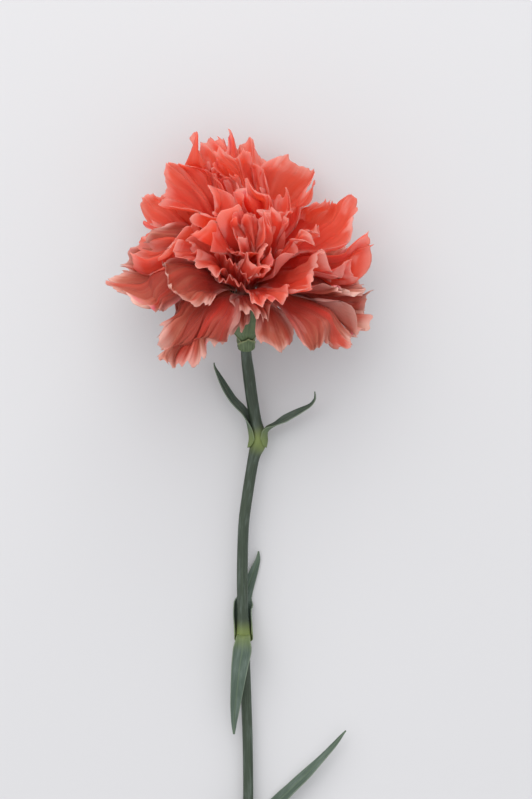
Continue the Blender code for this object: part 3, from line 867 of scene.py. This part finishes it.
def add_petals():
    finishes = (petal_finish("petal back", 1), petal_finish("petal face", 0), petal_edge_finish())
    for index, petal in enumerate(every_petal(), 1):
        across = round(petal.width / MM * PETAL_FACES_PER_MM)
        mesh = grid_mesh(f"ruffled_petal_{index:02d}", across, PETAL_ALONG, petal.place)
        edge = np.empty(3 * len(mesh.vertices), np.float32)
        mesh.attributes["petal_rim_and_painted_light"].data.foreach_get("vector", edge)
        for finish in finishes:
            mesh.materials.append(finish)
        piece = as_piece(mesh, f"petal_{index:02d}")
        thickened(piece, PETAL_THICKNESS, back=1, edge=2, thin=edge[::3] / THIN_REACH)


# The stem: its middle line from the cut end to the foot of the calyx, with its radius, in mm.
STEM_ROUTE = (
    (1.9, -134, 1.65, 1.6), (1.9, -120, 2, 1.6), (1.7, -104, 2.5, 1.6), (1.5, -93.5, 2.8, 1.65),
    (1.3, -90.5, 2.9, 2.15), (1.2, -87.5, 2.9, 2.05), (1.3, -84, 2.9, 1.65), (1.5, -72, 3, 1.6),
    (1.3, -56, 3.3, 1.6), (0.9, -44, 3.5, 1.65), (0.3, -28, 3.9, 1.75), (0, -24, 4, 2.3),
    (-0.1, -20.5, 4, 2.1), (-0.3, -15, 4.1, 1.75), (-0.4, -2, 4.3, 1.75), (0, 12, 4.6, 1.75),
    (1.2, 22, 4.9, 1.8), (3.2, 34, 5.4, 1.9), (4.6, 38.5, 5.6, 2.6), (4.9, 41.5, 5.7, 2.6),
    (4, 45.5, 5.9, 2), (2.6, 54, 6.6, 1.95), (1.7, 61, 7.6, 1.95),
)
# Where its joints are along Y and how far they are yellow, in mm.
STEM_JOINTS = (-89.0, -22.5, 40.0)
JOINT_REACH = 5.5
# Its neck below the calyx, and its receptacle inside: depth below the claws' feet and radius, in mm.
NECK_LENGTH = 4 * MM
NECK_RADIUS = 1.75 * MM
RECEPTACLE = ((3.5, 2.1), (1.5, 3.2), (0.3, 3.7))
# Its low ribs and its oval section, as shares of its radius, how the ribs wander as (radians a metre,
# radians), and how many radians a metre the oval turns.
STEM_RIBS = 11
STEM_RIB_HEIGHT = 0.012
STEM_RIB_WANDER = (60, 0.6)
STEM_OVAL = 0.02
STEM_OVAL_TWIST = 25
STEM_STEP = 1 * MM
STEM_AROUND = 40
CUT_RIM = 0.25 * MM
CUT_HEIGHT = 0.1 * MM
CALYX_FOOT = 19.5 * MM


def smooth_route(points, step):
    """Points every step along a smooth curve through the given ones, each with all of its values."""
    rows = np.array(points, float)
    padded = np.vstack((2 * rows[0] - rows[1], rows, 2 * rows[-1] - rows[-2]))
    found = []
    for index in range(len(rows) - 1):
        before, start, end, after = padded[index : index + 4]
        pieces = max(1, round(float(np.linalg.norm(end[:3] - start[:3])) / step))
        square = 2 * before - 5 * start + 4 * end - after
        cube = 3 * start - before - 3 * end + after
        for share in np.arange(pieces) / pieces:
            found.append(start + (share * (end - before) + share**2 * square + share**3 * cube) / 2)
    found.append(rows[-1])
    return np.array(found)


def stem_rows():
    """The stem's middle line and radius, from the cut end up to the receptacle inside the calyx."""
    route = [[value * MM for value in row] for row in STEM_ROUTE]
    foot = MOUTH - CALYX_FOOT * AXIS
    route.append([*(foot - NECK_LENGTH * AXIS), NECK_RADIUS])
    route.append([*foot, NECK_RADIUS])
    rows = list(smooth_route(route, STEM_STEP))
    for below, radius in RECEPTACLE:
        rows.append([*(MOUTH - (CLAW_LENGTH + below * MM) * AXIS), radius * MM])
    return np.array(rows)


def lengths_along(line):
    """How far along a line each of its points is."""
    return np.concatenate(([0], np.cumsum(np.linalg.norm(np.diff(line, axis=0), axis=1))))


def values_at(at, lengths, rows):
    """Rows of three values, taken at other places along a line."""
    return np.stack([np.interp(at, lengths, rows[:, axis]) for axis in range(3)], axis=1)


def beside(at, lengths, line, ways, shifts):
    """Points at these places along a line, shifted by so much along each of its ways."""
    points = values_at(at, lengths, line)
    for way, shift in zip(ways, shifts):
        points = points + values_at(at, lengths, way) * shift[:, None]
    return points


def frames_along(line, side):
    """For each point of a line, its direction and two more directions at right angles to it."""
    along = np.gradient(line, axis=0)
    along = along / np.linalg.norm(along, axis=1)[:, None]
    across = side - along * (along @ side)[:, None]
    across = across / np.linalg.norm(across, axis=1)[:, None]
    return along, across, np.cross(along, across)


def add_stem():
    rows = stem_rows()
    line = rows[:, :3]
    _, right, down = frames_along(line, np.array(RIGHT))
    lengths = lengths_along(line)

    def place(b, t):
        at = t * lengths[-1]
        turn = b * math.pi
        ribs = STEM_RIB_HEIGHT * np.sin(STEM_RIBS * turn + wandering(at, STEM_RIB_WANDER))
        oval = STEM_OVAL * np.sin(2 * turn + at * STEM_OVAL_TWIST)
        radius = np.interp(at, lengths, rows[:, 3]) * (1 + ribs + oval)
        shifts = (radius * np.cos(turn), radius * np.sin(turn))
        points = beside(at, lengths, line, (right, down), shifts)
        along = np.interp(at, lengths, line[:, 1]) / MM
        near = np.min([np.abs(along - joint) for joint in STEM_JOINTS], axis=0)
        yellow = softened(1 - near / JOINT_REACH)
        return points, {"stem_place": np.stack((turn, at / MM, yellow), axis=1)}

    mesh = grid_mesh("jointed_stem", STEM_AROUND, len(rows) - 1, place, close=True)
    bm = bmesh.new()
    bm.from_mesh(mesh)
    ends = bmesh.ops.holes_fill(bm, edges=[edge for edge in bm.edges if edge.is_boundary], sides=0)
    for face in ends["faces"]:
        face.material_index = 1
    bmesh.ops.inset_region(bm, faces=ends["faces"], thickness=CUT_RIM, depth=CUT_HEIGHT)
    bmesh.ops.recalc_face_normals(bm, faces=bm.faces)
    bm.to_mesh(mesh)
    bm.free()
    mesh.materials.append(stem_finish())
    mesh.materials.append(cut_end_finish())
    as_piece(mesh, "stem")


# The calyx's outline from its rim to its foot: depth below the mouth and middle radius, in mm.
CALYX_OUTLINE = (
    (-0.5, 5.5), (2.0, 5.45), (6.0, 5.3), (10.0, 5.0), (12.5, 4.7), (14.5, 3.5), (16.5, 2.5),
    (19.5, 2.1),
)
CALYX_WALL = 0.4 * MM
CALYX_TEETH = 5
CALYX_TOOTH_HEIGHT = 3.0 * MM
CALYX_TOOTH_POWER = 1.5
CALYX_FACES = (24 * CALYX_TEETH, 44)
# Its ribs, which fade out over 1 / RIB_FADE of its length at either end.
CALYX_RIBS = 30
RIB_HEIGHT = 0.05 * MM
RIB_FADE = 4
# A bract hugs the calyx by BRACT_HALF_TURN to each side. Its sides are shorter than its middle by
# BRACT_POINT of its length, and its tip and its keel are ridges of (half width, height). It flares
# out from BRACT_FLARE_FROM of its length.
BRACT_FOOT = 20.6 * MM
BRACT_WALL = 0.25 * MM
BRACT_HALF_TURN = math.radians(78)
BRACT_POINT = 0.62
BRACT_POINT_POWER = 1.3
BRACT_TIP = (0.09, 0.16)
BRACT_KEEL = (0.12, 0.18 * MM)
BRACT_FLARE = 0.1 * MM
BRACT_FLARE_FROM = 0.6
BRACT_FACES = (40, 24)
# Each bract's name, azimuth in degrees, distance off the calyx and length in mm.
BRACTS = (
    ("inner_bract_left", -90, 0.32, 6.2),
    ("inner_bract_right", 90, 0.32, 5.8),
    ("outer_bract_front", 10, 0.60, 5.2),
    ("outer_bract_back", 190, 0.60, 5.4),
)


def ridge(b, shape):
    """A ridge along a sheet's middle, as (half width, height)."""
    half_width, height = shape
    return height * np.exp(-((b / half_width) ** 2))


def calyx_radius(depth):
    outline = np.array(CALYX_OUTLINE) * MM
    return np.interp(depth, outline[:, 0], outline[:, 1])


def add_calyx():
    top = CALYX_OUTLINE[0][0] * MM

    def place(b, t):
        around = b * math.pi
        rim = top + CALYX_TOOTH_HEIGHT * toothed(b * CALYX_TEETH / 2) ** CALYX_TOOTH_POWER
        depth = rim + (CALYX_FOOT - rim) * t
        ribs = RIB_HEIGHT * np.sin(CALYX_RIBS * around)
        ribs = ribs * softened(t * RIB_FADE) * softened((1 - t) * RIB_FADE)
        points = head_point(calyx_radius(depth) + ribs, around, -depth)
        return points, {"calyx_place": np.stack((around, depth / MM, (depth - rim) / MM), axis=1)}

    mesh = grid_mesh("toothed_calyx", *CALYX_FACES, place, close=True)
    mesh.materials.append(calyx_finish("calyx skin", 0.7))
    thickened(as_piece(mesh, "calyx"), CALYX_WALL)


def add_bract(skin, name, azimuth, off_calyx, length):
    length = length * MM

    def place(b, t):
        end = 1 - BRACT_POINT * np.abs(b) ** BRACT_POINT_POWER + ridge(b, BRACT_TIP)
        depth = BRACT_FOOT - length * t * end
        flare = BRACT_FLARE * softened((t - BRACT_FLARE_FROM) / (1 - BRACT_FLARE_FROM))
        radius = calyx_radius(depth) + off_calyx * MM + ridge(b, BRACT_KEEL) * t + flare
        around = math.radians(azimuth) + BRACT_HALF_TURN * b
        spread = np.stack((around, depth / MM, (1 - t) * length * end / MM), axis=1)
        return head_point(radius, around, -depth), {"calyx_place": spread}

    mesh = grid_mesh("pointed_" + name, *BRACT_FACES, place)
    mesh.materials.append(skin)
    thickened(as_piece(mesh, name), BRACT_WALL)


def add_bracts():
    skin = calyx_finish("bract skin", 0.5)
    for row in BRACTS:
        add_bract(skin, *row)


# The leaves, in pairs at the stem's three joints. A leaf holds its name, the azimuth of its sheath
# (0 up, 90 right), half the turn that the sheath hugs, the radius of its wall, where the sheath starts
# and ends along Y, the blade's width, its roll, and the blade's middle line, all in mm and degrees.
# Beyond its sheath, a leaf opens and rolls over by these shares of its length, and it tapers.
LEAF_WALL = 0.3 * MM
LEAF_CHANNEL = 7 * MM
LEAF_STEP = 1 * MM
LEAF_OPEN_BY = 0.2
LEAF_ROLLED_BY = 1 / 3
LEAF_TIP = 0.012
LEAF_START = 0.86
LEAF_TAPER = 0.62
LEAF_KEEL = (0.10, 0.16 * MM)
# Its edges wave by LEAF_WAVE, and the waves turn by LEAF_WAVES radians a metre.
LEAF_WAVE = 0.14 * MM
LEAF_WAVES = 420
LEAF_FACES = (28, 110)
SHEATH_NARROWING = 0.25
SHEATH_ROUNDING = 3 * MM
LEAVES = (
    ("upper_left_leaf", -98, 84, 3, 37.6, 43.5, 6.4, -28, (
        (0.5, 48, 5.6), (-3.6, 53, 5.2), (-6.8, 58.4, 4.8), (-9.2, 63.3, 4.6),
        (-9.4, 64.8, 4.6),
    )),
    ("upper_right_leaf", 86, 84, 3, 37.6, 42.5, 5.2, 35, (
        (9.9, 44.6, 6.2), (15.1, 47.7, 6.8), (18.9, 49.8, 7), (21.5, 51.3, 7.1),
        (22.9, 53.4, 7.2), (22.7, 55.5, 7.4),
    )),
    ("middle_front_leaf", 0, 50, 2.85, -25, -23.6, 7, 0, (
        (0, -22.6, 7.7), (-0.2, -23.4, 8.8), (-0.4, -27, 9.1), (-1.3, -33, 8.6),
        (-2.2, -41, 7.4), (-2.9, -48.5, 6), (-3.1, -54.2, 5),
    )),
    ("middle_back_leaf", 180, 118, 2.85, -25, -14, 5.2, 12, (
        (1, -8.4, 1), (3.2, -2.4, 0.9), (4.6, 1.6, 1.1), (4.8, 4.2, 1.5),
    )),
    ("lower_right_leaf", 88, 84, 2.7, -91, -85.5, 6.4, 50, (
        (6, -81, 3), (10, -77, 3.2), (15.3, -71.9, 3.5), (22, -65.3, 3.8),
        (28, -58.9, 4.2), (32.8, -53.1, 4.8),
    )),
    ("lower_left_leaf", -88, 84, 2.7, -91, -85.5, 6.4, -60, (
        (-4.5, -82, 3.2), (-9, -81, 3.4), (-14, -83, 3.2), (-19, -88.5, 2.8),
        (-23, -96, 2.4), (-25, -103, 2.4),
    )),
)


def stem_at(along):
    """The middle of the stem where its Y is this many mm."""
    route = np.array(STEM_ROUTE)
    return np.array([np.interp(along, route[:, 1], route[:, axis]) for axis in (0, 1, 2)]) * MM


def add_leaf(skin, name, azimuth, half_turn, radius, start, end, width, roll, blade):
    out = np.array([math.sin(math.radians(azimuth)), 0, math.cos(math.radians(azimuth))])
    side = np.cross((0, 1, 0), out)
    sheath = [stem_at(along) + out * radius * MM for along in np.linspace(start, end, 3)]
    line = smooth_route([*sheath, *(np.array(blade) * MM)], LEAF_STEP)
    lengths = lengths_along(line)
    sheath_length = (end - start) * MM
    free = np.clip((lengths - sheath_length) / (lengths[-1] - sheath_length), 0, 1)
    _, flat, up = frames_along(line, side)
    turn = (math.radians(roll) * np.clip(free / LEAF_ROLLED_BY, 0, 1))[:, None]
    across = flat * np.cos(turn) + up * np.sin(turn)
    face = up * np.cos(turn) - flat * np.sin(turn)
    hug = 2 * math.radians(half_turn) * radius * MM
    hug = hug * (1 - SHEATH_NARROWING * np.clip(lengths / sheath_length, 0, 1))
    open_up = softened(free / LEAF_OPEN_BY)
    taper = np.clip(1 - free, LEAF_TIP, 1) ** LEAF_TAPER * np.clip(LEAF_START + free, 0, 1)
    widths = hug * (1 - open_up) + width * MM * taper * open_up
    bends = (1 - open_up) / (radius * MM) + open_up / LEAF_CHANNEL

    def place(b, t):
        at = t * lengths[-1] + (1 - t) * SHEATH_ROUNDING * np.abs(b) ** 3
        arc = b * np.interp(at, lengths, widths) / 2
        bend = np.interp(at, lengths, bends)
        opened = np.interp(at, lengths, open_up)
        wave = LEAF_WAVE * b * b * np.sin(at * LEAF_WAVES + 2 * b)
        aside = np.sin(arc * bend) / bend
        above = (1 - np.cos(arc * bend)) / bend + (wave - ridge(b, LEAF_KEEL)) * opened
        points = beside(at, lengths, line, (across, face), (aside, above))
        return points, {"leaf_place": np.stack((arc / MM, at / MM, np.abs(b)), axis=1)}

    mesh = grid_mesh("channelled_" + name, *LEAF_FACES, place)
    mesh.materials.append(skin)
    thickened(as_piece(mesh, name), LEAF_WALL)


def add_leaves():
    skin = leaf_finish()
    for row in LEAVES:
        add_leaf(skin, *row)


# ---------- The floor, the light and the camera ----------

# The camera looks straight down. FRAME_HEIGHT is what it sees CAMERA_REACH below it.
CAMERA_PLACE = Vector((7.2, 53.0, 1030.0)) * MM
CAMERA_REACH = 1.0
FRAME_HEIGHT = 249.7 * MM
SENSOR = 36
FLOOR_HALF = 4
# Each light's name, place, size and power. Both shine on the head.
LIT_PLACE = (0.0, 0.09, 0.02)
LIGHT_COLOUR = (1.0, 0.985, 0.965)
LIGHTS = (
    ("key light", (-0.30, 0.62, 0.72), 1.1, 5.0),
    ("back light", (0.25, 1.0, 0.30), 0.5, 2.5),
)
STUDIO_COLOUR = (0.955, 0.965, 1.0, 1)
STUDIO_STRENGTH = 1.05


def add_floor():
    bm = bmesh.new()
    bmesh.ops.create_grid(bm, x_segments=1, y_segments=1, size=FLOOR_HALF)
    mesh = bpy.data.meshes.new("floor")
    bm.to_mesh(mesh)
    bm.free()
    mesh.materials.append(floor_finish())
    put_in("floor", mesh)


def add_camera():
    camera = put_in("camera", bpy.data.cameras.new("camera"))
    camera.location = CAMERA_PLACE
    camera.data.sensor_width = SENSOR
    camera.data.lens = SENSOR * CAMERA_REACH / FRAME_HEIGHT
    camera.data.clip_start = 0.01
    bpy.context.scene.camera = camera


def add_light(name, place, size, power):
    light = put_in(name, bpy.data.lights.new(name, "AREA"))
    light.data.size = size
    light.data.energy = power
    light.data.color = LIGHT_COLOUR
    light.location = place
    light.rotation_mode = "QUATERNION"
    light.rotation_quaternion = (Vector(LIT_PLACE) - Vector(place)).to_track_quat("-Z", "Y")


def add_lights():
    for row in LIGHTS:
        add_light(*row)
    world = bpy.data.worlds.new("studio")
    world.use_nodes = True
    background = world.node_tree.nodes["Background"]
    background.inputs["Color"].default_value = STUDIO_COLOUR
    background.inputs["Strength"].default_value = STUDIO_STRENGTH
    bpy.context.scene.world = world
    bpy.context.scene.view_settings.view_transform = "Standard"


add_camera()
add_floor()
add_lights()
add_petals()
add_stem()
add_calyx()
add_bracts()
add_leaves()
